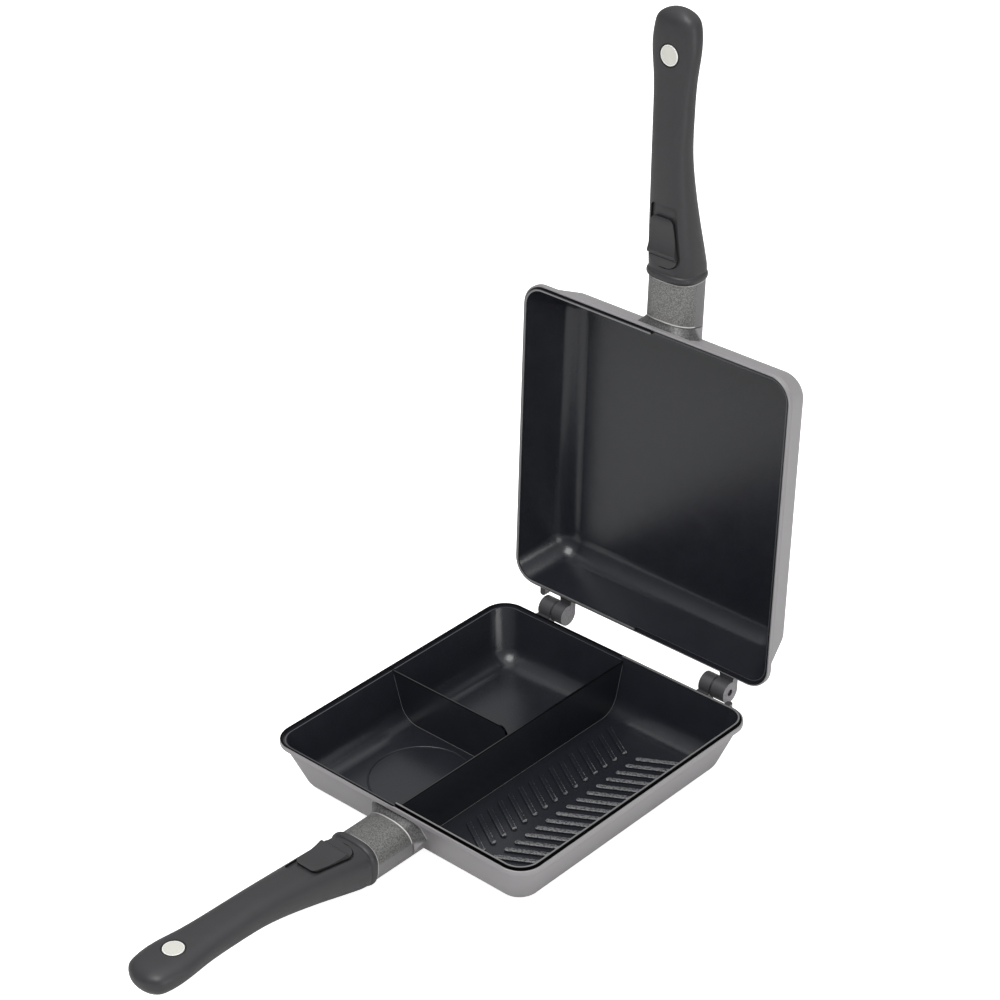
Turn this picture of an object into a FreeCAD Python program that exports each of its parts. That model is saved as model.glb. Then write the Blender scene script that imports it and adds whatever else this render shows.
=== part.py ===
import FreeCAD, Part
import math
import os

from FreeCAD import Vector

# A double sided flip pan: two square cast pans hinged at the back, each with
# its own straight handle. X runs to the right, Y from the handles to the
# hinges, Z up. The origin is the middle of the lower pan's base. Each casting
# and each handle is drawn as the lower one, below the plane where the two
# pans meet, and is then lifted into place, or turned over and swung open.

# Pan casting
pan_width = 210.0
pan_depth = 215.0
pan_height = 37.5
rim_corner_radius = 16.0
rim_band_height = 3.2
rim_edge_radius = 0.5
wall_inset = 2.3
wall_thickness = 2.0
wall_draft_angle = 18.0
base_thickness = 2.7
base_corner_radius = 17.0
base_fillet_radius = 16.0
floor_corner_radius = 15.6
floor_fillet_radius = 15.0
parting_gap = 0.3

# Mating rim: a raised lip on one half and a ledge on the other
land_width = 1.7
lip_height = 1.4
lip_side_gap = 0.25
ledge_depth = 1.7
lip_start_x = 1.0

# Dividers of the lower pan
divider_drop = 1.9
divider_top_width = 1.6
divider_foot_width = 3.4
divider_edge_radius = 0.5
long_divider_x = 1.7
cross_divider_y = -1.0
cross_corner_radius = 6.5
cross_notch_depth = 7.0
cross_notch_width = 4.6

# Egg ring on the front left floor
egg_ring_radius = 33.6
egg_ring_x = -39.0
egg_ring_y = -41.5
egg_ring_bead = 0.6

# Herringbone grill on the right floor
rib_pairs = 15
rib_pitch = 9.44
rib_height = 1.2
rib_width = 3.6
rib_angle = 30.0
rib_first_y = -71.0
right_rib_inner_x = 48.5
right_rib_outer_x = 75.0
left_rib_inner_x = 40.2
left_rib_outer_x = 14.0

# Hinges
open_angle = 93.0
hinge_setback = 11.2
knuckle_radius = 7.2
hinge_inset = 38.3
inner_knuckle_length = 9.2
outer_knuckle_length = 10.8
knuckle_gap = 0.3
knuckle_web_height = 5.0
knuckle_flare = 3.0
lug_gap = 2.5
lug_width = 4.2
lug_reach = 6.5
lug_corner_radius = 1.8
pin_radius = 2.2
pin_running_gap = 0.05
pin_fixed_gap = 0.01
pin_blind_wall = 1.2
pin_recess = 1.5
pin_end_chamfer = 0.3

# Handle boss of the casting and its tongue
neck_drop = 19.0
ferrule_half_width = 17.1
ferrule_rise = 12.0
ferrule_fall = 16.5
ferrule_mating_power = 2.5
ferrule_outer_power = 2.8
boss_step = 0.9
boss_reach = 2.5
boss_root_half_width = 23.0
boss_root_depth = 17.0
boss_seat_gap = 0.2
joint_lean_angle = 12.0
tongue_drop = 24.0
tongue_half_width = 8.0
tongue_height = 7.0
tongue_length = 30.0
tongue_corner_radius = 1.6
tongue_tip_chamfer = 1.2
notch_start = 16.0
notch_length = 6.0
notch_depth = 2.4

# Ferrule
ferrule_length = 27.0
ferrule_edge_radius = 0.6
spigot_length = 10.0
spigot_wall = 1.8
bore_rise = 9.0
bore_corner_radius = 1.2

# Tongue guide, a square channel inside the ferrule
guide_wall = 1.3
guide_fit_gap = 0.2
guide_start = 2.0
guide_end_gap = 2.5
window_side_gap = 0.6

# Grip
grip_length = 172.0
grip_half_width = 16.8
grip_thickness = 30.1
grip_face_drop = 7.0
grip_tip_length = 11.0
grip_widest_share = 0.44
grip_mating_power = 2.9
# Each row: place along the grip, shares of half width, face drop and thickness, outer power
grip_shares = (
    (0.000, 0.994, 1.000, 0.947, 2.8),
    (0.087, 1.000, 0.786, 0.977, 2.5),
    (0.221, 0.911, 0.486, 0.864, 2.2),
    (0.349, 0.827, 0.250, 0.749, 2.1),
    (0.477, 0.768, 0.064, 0.661, 2.1),
    (0.628, 0.786, 0.058, 0.605, 2.1),
    (0.756, 0.851, 0.058, 0.585, 2.1),
    (0.855, 0.976, 0.058, 0.581, 2.1),
    (0.936, 0.917, 0.090, 0.591, 2.1),
)
grip_tip_shares = (0.45, 0.75, 0.93)
bead_length = 5.6
bead_height = 1.3
# Each row: place along the bead, share of its height
bead_shares = ((0.0, 0.0), (0.22, 0.85), (0.5, 1.0), (0.78, 0.75), (1.0, -0.25))
section_points = 28

# Inner chamber of the grip
chamber_half_width = 8.6
chamber_length = 29.0
chamber_top_drop = 8.6
chamber_bottom_drop = 24.5
grip_fit_gap = 0.15

# Recess and thumb slider
recess_start = 9.0
recess_length = 42.0
recess_half_width = 12.0
recess_rear_half_width = 9.8
recess_depth = 1.5
recess_corner_radius = 3.0
slider_length = 33.5
slider_half_width = 10.9
slider_rear_half_width = 8.6
slider_corner_radius = 3.6
slide_nose_share = 0.7
slider_front_gap = 0.6
slider_lift = 0.85
slider_front_height = 1.9
slider_ridge_height = 3.8
slider_pad_height = 2.0
slider_rear_height = 2.3
slider_nose_radius = 0.8
slider_groove_start = 6.4
slider_groove_width = 1.2
slider_groove_depth = 0.3
slider_ridge_place = 10.6
slider_heel_length = 4.6
slider_travel = 6.0
stem_half_width = 2.0
stem_length = 3.0
stem_root = 0.7
foot_radius = 1.2
foot_half_width = 5.0
foot_place = 25.0
slot_gap = 0.5

# Latch that drops into the tongue's notch
latch_half_width = 6.0
latch_thickness = 1.6
latch_lift = 2.4
latch_guide_gap = 0.4
tooth_gap = 0.3
latch_front_overhang = 1.0
ramp_lead = 4.0
latch_tail = 10.0

# Latch spring, drawn at its pressed length
spring_radius = 2.4
spring_wire_radius = 0.4
spring_turns = 4
spring_pocket_wall = 1.6
spring_pocket_gap = 0.4
spring_latch_gap = 0.3
quarters_per_turn = 4

# Magnet and its cup
magnet_end_distance = 27.5
magnet_radius = 5.8
magnet_thickness = 3.0
magnet_face_drop = 0.1
cup_wall = 0.5
cup_floor = 0.8
cup_gap = 0.05
cup_edge_radius = 0.2
pocket_gap = 0.35

# Screw that holds grip and ferrule together, on the outer side
screw_place = 7.0
screw_radius = 1.5
screw_head_radius = 3.0
screw_head_height = 1.8
screw_head_recess = 0.5
screw_gap = 0.1
screw_slot_width = 0.9
screw_slot_depth = 0.9

# Cutters run past what they cut by this much
overrun = 2.0
# Edges are found within this distance
reach = 0.01

# Values that follow
up = Vector(0, 0, 1)
right = Vector(1, 0, 0)
back = Vector(0, 1, 0)
draft_slope = math.tan(math.radians(wall_draft_angle))
level_wall = wall_thickness / math.cos(math.radians(wall_draft_angle))
hollow_inset = wall_inset - rim_band_height * draft_slope + level_wall
floor_z = base_thickness - pan_height
hinge_y = pan_depth / 2 + hinge_setback
knuckle_split_x = pan_width / 2 - hinge_inset
knuckle_inner_x = knuckle_split_x - inner_knuckle_length
knuckle_outer_x = knuckle_split_x + outer_knuckle_length
lug_inner_x = knuckle_outer_x + lug_gap
front_y = -pan_depth / 2
ferrule_y = front_y - boss_reach
joint_slope = math.tan(math.radians(joint_lean_angle))
joint_foot_y = ferrule_y + (ferrule_rise + ferrule_fall) * joint_slope
grip_y = ferrule_y - ferrule_length
grip_end_y = grip_y - grip_length
tongue_z = -tongue_drop
tongue_top_z = tongue_z + tongue_height / 2
tongue_base_z = tongue_z - tongue_height / 2
tongue_tip_y = ferrule_y - tongue_length
notch_front_y = ferrule_y - notch_start
notch_back_y = notch_front_y - notch_length
tooth_middle_y = (notch_front_y + notch_back_y) / 2
guide_half_width = tongue_half_width + guide_fit_gap + guide_wall
guide_top_z = tongue_top_z + guide_fit_gap + guide_wall
guide_base_z = tongue_base_z - guide_fit_gap - guide_wall
guide_back_y = tongue_tip_y - guide_end_gap - guide_wall
bore_half_width = guide_half_width + guide_fit_gap
bore_base_z = guide_base_z - guide_fit_gap
bore_top_z = -neck_drop + bore_rise
spigot_back_y = grip_y - spigot_length
chamber_back_y = spigot_back_y - chamber_length
latch_base_z = guide_top_z + latch_guide_gap
latch_top_z = latch_base_z + latch_thickness
spring_top_z = -neck_drop + ferrule_rise - spring_pocket_wall
spring_base_z = latch_top_z + latch_lift + spring_latch_gap
recess_y = grip_y - recess_start
foot_y = grip_y - foot_place
magnet_y = grip_end_y + magnet_end_distance
screw_y = grip_y - screw_place


def level_outline(half_x, half_y, radius, z):
    """Rounded rectangle round the Z axis, in a level plane."""
    edges = []
    corners = ((1, 1, 0), (-1, 1, 90), (-1, -1, 180), (1, -1, 270))
    for side_x, side_y, start in corners:
        middle = Vector(side_x * (half_x - radius), side_y * (half_y - radius), z)
        edges.append(Part.makeCircle(radius, middle, up, start, start + 90))
    joined = []
    for arc, following in zip(edges, edges[1:] + edges[:1]):
        joined.append(arc)
        joined.append(Part.makeLine(arc.lastVertex().Point, following.firstVertex().Point))
    return Part.Wire(joined)


def prism(outline, direction):
    """Solid of a closed outline pushed along a direction."""
    return Part.Face(outline).extrude(direction)


def level_plate(half_x, half_y, radius, low, high):
    return prism(level_outline(half_x, half_y, radius, low), Vector(0, 0, high - low))


def block(low, high):
    """Box between two opposite corners."""
    size = high - low
    return Part.makeBox(size.x, size.y, size.z, low)


def long_block(half_x, low_z, high_z, radius, front, rear):
    """Bar along Y with rounded long edges, from its front to its rear."""
    half_z = (high_z - low_z) / 2
    outline = level_outline(half_x, half_z, radius, 0)
    outline.rotate(Vector(0, 0, 0), right, 90)
    outline.translate(Vector(0, front, low_z + half_z))
    return prism(outline, Vector(0, rear - front, 0))


def edges_at_height(shape, z):
    found = []
    for edge in shape.Edges:
        box = edge.BoundBox
        if max(abs(box.ZMin - z), abs(box.ZMax - z)) < reach:
            found.append(edge)
    return found


def wall_half(size, depth):
    """Half a pan side on the outer wall, at a depth below the meeting plane."""
    return size / 2 - wall_inset - (depth - rim_band_height) * draft_slope


def drafted_tray(thickness, top_depth, top_radius, bottom_depth, bottom_radius, fillet):
    """Sloped tray form with a rounded foot; thickness sets it in from the outer wall."""
    outlines = []
    for depth, radius in ((top_depth, top_radius), (bottom_depth, bottom_radius)):
        half_x = wall_half(pan_width, depth) - thickness
        half_y = wall_half(pan_depth, depth) - thickness
        outlines.append(level_outline(half_x, half_y, radius, -depth))
    tray = Part.makeLoft(outlines, True, True)
    return tray.makeFillet(fillet, edges_at_height(tray, -bottom_depth))


def right_half():
    """Everything to the right of the place where lip and ledge change over."""
    return block(
        Vector(lip_start_x, -pan_depth, -pan_height), Vector(pan_width, pan_depth, pan_height)
    )


def rim_plate(inset, low, high):
    """Plate as large as the rim, drawn in by an inset."""
    half_x = pan_width / 2 - inset
    half_y = pan_depth / 2 - inset
    return level_plate(half_x, half_y, rim_corner_radius - inset, low, high)


def rim_band():
    top = -parting_gap / 2
    band = rim_plate(0, -rim_band_height, top)
    return band.makeFillet(rim_edge_radius, edges_at_height(band, top))


def raised_lip():
    lip = rim_plate(land_width + lip_side_gap, -rim_band_height, lip_height)
    return lip.common(right_half())


def ledge_cut():
    return rim_plate(land_width, -ledge_depth, overrun).cut(right_half())


def inner_tray(thickness, depth, corner_radius, fillet):
    """Tray form up to the meeting plane, set in from the outer wall by a thickness."""
    top_radius = rim_corner_radius - hollow_inset + level_wall - thickness
    return drafted_tray(thickness, 0, top_radius, depth, corner_radius, fillet)


def cavity():
    """Hollow of the tray, with straight sides above the meeting plane."""
    tray = inner_tray(level_wall, -floor_z, floor_corner_radius, floor_fillet_radius)
    return tray.fuse(rim_plate(hollow_inset, 0, lip_height + overrun))


def tapered_bar(length, drop):
    """Upright bar along X with a sloped section and a rounded top edge."""
    foot_z = floor_z - base_thickness / 2
    half_top = divider_top_width / 2
    half_foot = divider_foot_width / 2
    points = (
        Vector(0, -half_foot, foot_z),
        Vector(0, half_foot, foot_z),
        Vector(0, half_top, -drop),
        Vector(0, -half_top, -drop),
    )
    bar = prism(Part.makePolygon(points + points[:1]), Vector(length, 0, 0))
    long_edges = [e for e in edges_at_height(bar, -drop) if e.Length > length / 2]
    return bar.makeFillet(divider_edge_radius, long_edges)


def long_divider():
    bar = tapered_bar(pan_depth, divider_drop)
    bar.rotate(Vector(0, 0, 0), up, 90)
    bar.translate(Vector(long_divider_x, -pan_depth / 2, 0))
    return bar


def cross_divider():
    """Divider of the left half; its free corner is rounded and leaves a low notch."""
    bar = tapered_bar(pan_width / 2 + long_divider_x, divider_drop)
    bar.translate(Vector(-pan_width / 2, cross_divider_y, 0))
    notch_x = long_divider_x - divider_top_width / 2 - cross_notch_width
    arc_x = notch_x - cross_corner_radius
    arc_z = -divider_drop - cross_corner_radius
    low_z = -divider_drop - cross_notch_depth
    turn = math.sqrt(0.5)
    arc_middle = Vector(arc_x + cross_corner_radius * turn, 0, arc_z + cross_corner_radius * turn)
    high = Vector(arc_x, 0, -divider_drop)
    side = Vector(notch_x, 0, arc_z)
    low = Vector(notch_x, 0, low_z)
    far_low = Vector(long_divider_x, 0, low_z)
    far_high = Vector(long_divider_x, 0, overrun)
    near_high = Vector(arc_x, 0, overrun)
    outline = Part.Wire([
        Part.Arc(high, arc_middle, side).toShape(),
        Part.makeLine(side, low),
        Part.makeLine(low, far_low),
        Part.makeLine(far_low, far_high),
        Part.makeLine(far_high, near_high),
        Part.makeLine(near_high, high),
    ])
    outline.translate(Vector(0, cross_divider_y - divider_foot_width, 0))
    return bar.cut(prism(outline, Vector(0, divider_foot_width * 2, 0)))


def dividers():
    """Both dividers, ending inside the walls and the base."""
    buried = level_wall / 2
    core = inner_tray(
        buried, base_thickness / 2 - floor_z,
        floor_corner_radius + buried, floor_fillet_radius + buried,
    )
    return long_divider().fuse(cross_divider()).common(core)


def rib(inner_x, outer_x, inner_y):
    """One grill rib with round ends, sloping outwards and to the back."""
    run = abs(outer_x - inner_x) / math.cos(math.radians(rib_angle))
    half = rib_width / 2
    start = Vector(half, 0, 0)
    end = Vector(run - half, 0, 0)
    outline = Part.Wire([
        Part.makeLine(start + Vector(0, -half, 0), end + Vector(0, -half, 0)),
        Part.makeCircle(half, end, up, -90, 90),
        Part.makeLine(end + Vector(0, half, 0), start + Vector(0, half, 0)),
        Part.makeCircle(half, start, up, 90, 270),
    ])
    sunk = base_thickness / 2
    bar = prism(outline, Vector(0, 0, sunk + rib_height))
    angle = rib_angle if outer_x > inner_x else 180 - rib_angle
    bar.rotate(Vector(0, 0, 0), up, angle)
    bar.translate(Vector(inner_x, inner_y, floor_z - sunk))
    return bar


def grill_ribs():
    ribs = []
    for number in range(rib_pairs):
        y = rib_first_y + number * rib_pitch
        ribs.append(rib(right_rib_inner_x, right_rib_outer_x, y))
        ribs.append(rib(left_rib_inner_x, left_rib_outer_x, y))
    return ribs


def egg_ring():
    return Part.makeTorus(egg_ring_radius, egg_ring_bead, Vector(egg_ring_x, egg_ring_y, floor_z), up)


def knuckle_span(outer):
    """Left and right ends of one knuckle: the outer one on the left, the inner one on the right."""
    half_gap = knuckle_gap / 2
    if outer:
        return -knuckle_outer_x, -knuckle_split_x - half_gap
    return knuckle_inner_x, knuckle_split_x - half_gap


def knuckle(outer):
    """Hinge barrel with its web, which flares where it meets the rim."""
    low_x, high_x = knuckle_span(outer)
    barrel = Part.makeCylinder(
        knuckle_radius, high_x - low_x, Vector(low_x, hinge_y, 0), right
    )
    rim_y = pan_depth / 2
    root_y = rim_y - wall_inset - knuckle_flare
    flare_y = rim_y + knuckle_flare
    base_z = -knuckle_radius
    turn = knuckle_flare * (1 - math.sqrt(0.5))
    left_foot = Vector(low_x - knuckle_flare, rim_y, base_z)
    right_foot = Vector(high_x + knuckle_flare, rim_y, base_z)
    left_root = Vector(left_foot.x, root_y, base_z)
    right_root = Vector(right_foot.x, root_y, base_z)
    left_neck = Vector(low_x, flare_y, base_z)
    right_neck = Vector(high_x, flare_y, base_z)
    left_end = Vector(low_x, hinge_y, base_z)
    right_end = Vector(high_x, hinge_y, base_z)
    outline = Part.Wire([
        Part.makeLine(left_root, right_root),
        Part.makeLine(right_root, right_foot),
        Part.Arc(right_foot, Vector(high_x + turn, rim_y + turn, base_z), right_neck).toShape(),
        Part.makeLine(right_neck, right_end),
        Part.makeLine(right_end, left_end),
        Part.makeLine(left_end, left_neck),
        Part.Arc(left_neck, Vector(low_x - turn, rim_y + turn, base_z), left_foot).toShape(),
        Part.makeLine(left_foot, left_root),
    ])
    return barrel.fuse(prism(outline, Vector(0, 0, knuckle_web_height)))


def pin_hole(outer, gap):
    """Open hole through the outer knuckle, blind hole in the inner one."""
    low_x, high_x = knuckle_span(outer)
    if outer:
        start = low_x - overrun
        length = high_x - low_x + overrun * 2
    else:
        start = low_x + pin_blind_wall
        length = high_x - start + overrun
    return Part.makeCylinder(pin_radius + gap, length, Vector(start, hinge_y, 0), right)


def hinge_lug():
    """Small lug beside the other pan's knuckle."""
    rim_y = pan_depth / 2
    half_x = lug_width / 2
    low_y = rim_y - wall_inset - lug_reach
    half_y = (rim_y + lug_reach - low_y) / 2
    base_z = -knuckle_radius
    lug = level_plate(half_x, half_y, lug_corner_radius, base_z, base_z + knuckle_web_height)
    lug.translate(Vector(lug_inner_x + half_x, low_y + half_y, 0))
    return lug


def oval(y, half_width, top, thickness, widest_share, top_power, bottom_power):
    """Closed section across the handle, flatter on the mating side."""
    points = []
    for number in range(section_points):
        angle = math.pi * 2 * number / section_points
        across, along = math.cos(angle), math.sin(angle)
        power = top_power if along > 0 else bottom_power
        rise = widest_share if along > 0 else 1 - widest_share
        x = math.copysign(abs(across) ** (2 / power), across) * half_width
        z = math.copysign(abs(along) ** (2 / power), along) * rise * thickness
        points.append(Vector(x, y, top - widest_share * thickness + z))
    curve = Part.BSplineCurve()
    curve.interpolate(points, PeriodicFlag=True)
    return Part.Wire([curve.toShape()])


def ferrule_outline(y, step):
    """Section of the ferrule; a step lowers its mating half only."""
    rise = ferrule_rise - step
    thickness = rise + ferrule_fall
    return oval(
        y, ferrule_half_width, -neck_drop + rise, thickness, rise / thickness,
        ferrule_mating_power, ferrule_outer_power,
    )


def leaning(outline):
    """Shears a section so that its foot lies nearer to the pan than its top."""
    shear = FreeCAD.Matrix()
    shear.A23 = -joint_slope
    shear.A24 = (ferrule_rise - neck_drop) * joint_slope
    return outline.transformGeometry(shear)


def handle_boss():
    """Bar level with the ferrule's outer half, with a flare up to the rim."""
    end_y = ferrule_y + boss_seat_gap
    buried_y = base_fillet_radius / 2 - wall_half(pan_depth, pan_height)
    joint = leaning(ferrule_outline(end_y, boss_step))
    bar = prism(joint, Vector(0, buried_y - end_y, 0))
    root_top = -rim_band_height / 2
    half_z = (boss_root_depth + root_top) / 2
    root = level_outline(boss_root_half_width, half_z, boss_step, 0)
    root.rotate(Vector(0, 0, 0), right, 90)
    root.translate(Vector(0, front_y + wall_inset + boss_reach * 2, root_top - half_z))
    flare = Part.makeLoft([root, joint], True, True)
    return bar.fuse(flare)


def tongue():
    """Flat tongue that the handle slides on to, with a notch for the latch."""
    bar = long_block(
        tongue_half_width, tongue_base_z, tongue_top_z, tongue_corner_radius,
        joint_foot_y, tongue_tip_y,
    )
    ends = [e for e in bar.Edges if e.BoundBox.YLength < reach]
    tip = [e for e in ends if abs(e.BoundBox.YMin - tongue_tip_y) < reach]
    bar = bar.makeChamfer(tongue_tip_chamfer, tip)
    notch = block(
        Vector(-tongue_half_width - overrun, notch_back_y, tongue_top_z - notch_depth),
        Vector(tongue_half_width + overrun, notch_front_y, tongue_top_z + overrun),
    )
    return bar.cut(notch)


def casting(pin_gap):
    """Cast pan with a plain hollow: rim, walls, hinge parts, boss and tongue."""
    wall_top_radius = rim_corner_radius - wall_inset
    outer = drafted_tray(
        0, rim_band_height / 2, wall_top_radius, pan_height, base_corner_radius, base_fillet_radius
    )
    solids = [outer, raised_lip(), handle_boss(), tongue(), knuckle(True), knuckle(False), hinge_lug()]
    pan = rim_band().fuse(solids)
    return pan.cut([ledge_cut(), cavity(), pin_hole(True, pin_gap), pin_hole(False, pin_gap)])


def lower_pan():
    pan = casting(pin_fixed_gap)
    return pan.fuse([dividers(), egg_ring()] + grill_ribs()).removeSplitter()


def upper_pan():
    return casting(pin_running_gap).removeSplitter()


def hinge_pin():
    """Pin of the left hinge, held by the lower casting and running in the upper one."""
    low_x = -knuckle_outer_x + pin_recess
    high_x = -knuckle_inner_x - pin_blind_wall - pin_running_gap
    pin = Part.makeCylinder(pin_radius, high_x - low_x, Vector(low_x, hinge_y, 0), right)
    ends = [e for e in pin.Edges if e.BoundBox.XLength < reach]
    return pin.makeChamfer(pin_end_chamfer, ends)


def grip_point(y, column):
    """One size of the grip at a place along it, between its shares."""
    place = (grip_y - y) / grip_length
    for first, second in zip(grip_shares, grip_shares[1:]):
        if first[0] <= place <= second[0]:
            part = (place - first[0]) / (second[0] - first[0])
            return first[column] + (second[column] - first[column]) * part
    return grip_shares[-1][column]


def face_z(y):
    return -grip_point(y, 2) * grip_face_drop


def outer_z(y):
    return face_z(y) - grip_point(y, 3) * grip_thickness


def grip_section(y, half_width, top, thickness, outer_power):
    return oval(
        y, half_width, top, thickness, grip_widest_share, grip_mating_power, outer_power
    )


def grip_body():
    """Long grip: a smooth loft that ends in a rounded tip."""
    sections = []
    for place, width_share, drop_share, thickness_share, power in grip_shares:
        sections.append(grip_section(
            grip_y - place * grip_length,
            width_share * grip_half_width,
            -drop_share * grip_face_drop,
            thickness_share * grip_thickness,
            power,
        ))
    place, width_share, drop_share, thickness_share, power = grip_shares[-1]
    thickness = thickness_share * grip_thickness
    top = -drop_share * grip_face_drop
    middle_z = top - grip_widest_share * thickness
    for share in grip_tip_shares:
        scale = math.sqrt(1 - share * share)
        sections.append(grip_section(
            grip_end_y + grip_tip_length * (1 - share),
            width_share * grip_half_width * scale,
            middle_z + grip_widest_share * thickness * scale,
            thickness * scale,
            power,
        ))
    sections.append(Part.Vertex(Vector(0, grip_end_y, middle_z)))
    return Part.makeLoft(sections, True, False)


def grip_bead():
    """Rounded bead at the front of the grip."""
    sections = []
    for place, share in bead_shares:
        y = grip_y - place * bead_length
        grow = share * bead_height
        half_width = grip_point(y, 1) * grip_half_width + grow
        thickness = grip_point(y, 3) * grip_thickness + grow * 2
        power = grip_point(y, 4)
        sections.append(grip_section(y, half_width, face_z(y) + grow, thickness, power))
    return Part.makeLoft(sections, True, False)


def slide_tilt():
    """Slope of the mating face under the slider, in degrees."""
    front = face_z(recess_y)
    rear = face_z(recess_y - recess_length)
    return math.degrees(math.atan2(rear - front, recess_length))


def on_slide(shape):
    """Takes a shape drawn from the recess's front end on its floor to its place."""
    shape.rotate(Vector(0, 0, 0), right, -slide_tilt())
    shape.translate(Vector(0, recess_y, face_z(recess_y) - recess_depth))
    return shape


def slide_plan(length, half_width, rear_half_width, corner, z):
    """Outline with an oval nose, running narrower to its rear along the grip."""
    nose = half_width * slide_nose_share
    rear = -length
    turn = math.sqrt(0.5) * corner
    right_front = Vector(half_width, -nose, z)
    left_front = Vector(-half_width, -nose, z)
    right_rear = Vector(rear_half_width, rear + corner, z)
    left_rear = Vector(-rear_half_width, rear + corner, z)
    rear_right = Vector(rear_half_width - corner, rear, z)
    rear_left = Vector(corner - rear_half_width, rear, z)
    right_turn = rear_right + Vector(turn, corner - turn, 0)
    left_turn = rear_left + Vector(-turn, corner - turn, 0)
    front = Part.Ellipse(Vector(0, -nose, z), half_width, nose)
    return Part.Wire([
        Part.ArcOfEllipse(front, 0, math.pi).toShape(),
        Part.makeLine(left_front, left_rear),
        Part.Arc(left_rear, left_turn, rear_left).toShape(),
        Part.makeLine(rear_left, rear_right),
        Part.Arc(rear_right, right_turn, right_rear).toShape(),
        Part.makeLine(right_rear, right_front),
    ])


def recess_cut():
    """Recess of even depth, its floor as rounded across as the mating face."""
    outline = slide_plan(
        recess_length, recess_half_width, recess_rear_half_width, recess_corner_radius,
        -recess_depth * 2,
    )
    upright = on_slide(prism(outline, Vector(0, 0, recess_depth * 5)))
    floor = grip_body()
    floor.translate(Vector(0, 0, -recess_depth))
    return upright.cut(floor)


def stem_slot():
    """Slot in the recess floor for the slider's stem and foot."""
    half = foot_half_width + slot_gap
    front = foot_y + stem_length / 2 + slot_gap
    rear = foot_y - stem_length / 2 - slot_gap - slider_travel
    return block(Vector(-half, rear, -chamber_top_drop - overrun), Vector(half, front, 0))


def grip_chamber():
    """Hollow behind the ferrule for the latch's tail and the slider's foot."""
    return long_block(
        chamber_half_width, -chamber_bottom_drop, -chamber_top_drop, boss_step,
        spigot_back_y + overrun, chamber_back_y,
    )


def spigot_bar(gap, front):
    """Square spigot of the ferrule inside the grip, with a gap all round for its socket."""
    return long_block(
        bore_half_width + spigot_wall + gap, bore_base_z - spigot_wall - gap,
        bore_top_z + spigot_wall + gap, bore_corner_radius + spigot_wall, front, spigot_back_y - gap,
    )


def screw_hole(gap, head_gap):
    """Countersunk hole from the outer side up to the spigot's bore."""
    base = outer_z(screw_y) - overrun
    seat = outer_z(screw_y) + screw_head_recess
    at = Vector(0, screw_y, 0)
    shank = Part.makeCylinder(screw_radius + gap, bore_base_z - base, at + Vector(0, 0, base), up)
    mouth = Part.makeCylinder(screw_head_radius + head_gap, seat - base, at + Vector(0, 0, base), up)
    cone = Part.makeCone(
        screw_head_radius + head_gap, screw_radius + head_gap, screw_head_height,
        at + Vector(0, 0, seat), up,
    )
    return shank.fuse([mouth, cone])


def grip():
    body = grip_body().fuse(grip_bead())
    pocket_radius = magnet_radius + cup_gap + cup_wall + pocket_gap
    pocket_depth = magnet_face_drop + magnet_thickness + cup_gap + cup_floor + cup_gap
    pocket = Part.makeCylinder(
        pocket_radius, pocket_depth + overrun,
        Vector(0, magnet_y, face_z(magnet_y) - pocket_depth), up,
    )
    cutters = [
        spigot_bar(grip_fit_gap, grip_y + overrun), grip_chamber(), recess_cut(), stem_slot(),
        pocket, screw_hole(screw_gap, screw_gap),
    ]
    return body.cut(cutters).removeSplitter()


def spring_pocket():
    radius = spring_radius + spring_wire_radius + spring_pocket_gap
    low = bore_top_z - overrun
    return Part.makeCylinder(radius, spring_top_z - low, Vector(0, tooth_middle_y, low), up)


def ferrule():
    """Metal sleeve with a square bore and a spigot that enters the grip."""
    ends = [leaning(ferrule_outline(ferrule_y, 0)), ferrule_outline(grip_y, 0)]
    sleeve = Part.makeLoft(ends, True, True)
    front = [e for e in sleeve.Edges if e.BoundBox.YMin > grip_y + reach]
    sleeve = sleeve.makeFillet(ferrule_edge_radius, front)
    body = sleeve.fuse(spigot_bar(0, grip_y + overrun))
    bore = long_block(
        bore_half_width, bore_base_z, bore_top_z, bore_corner_radius,
        joint_foot_y + overrun, spigot_back_y - overrun,
    )
    return body.cut([bore, spring_pocket(), screw_hole(0, screw_gap)]).removeSplitter()


def tongue_guide():
    """Channel round the tongue, closed at its end, with a window for the latch."""
    front = ferrule_y - guide_start
    channel = long_block(
        guide_half_width, guide_base_z, guide_top_z, guide_fit_gap + guide_wall, front, guide_back_y
    )
    inside = long_block(
        tongue_half_width + guide_fit_gap, tongue_base_z - guide_fit_gap,
        tongue_top_z + guide_fit_gap, tongue_corner_radius, front + overrun, guide_back_y + guide_wall,
    )
    window = block(
        Vector(-latch_half_width - window_side_gap, notch_back_y - window_side_gap, tongue_top_z),
        Vector(latch_half_width + window_side_gap, notch_front_y + window_side_gap, guide_top_z + overrun),
    )
    return channel.cut([inside, window])


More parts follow.
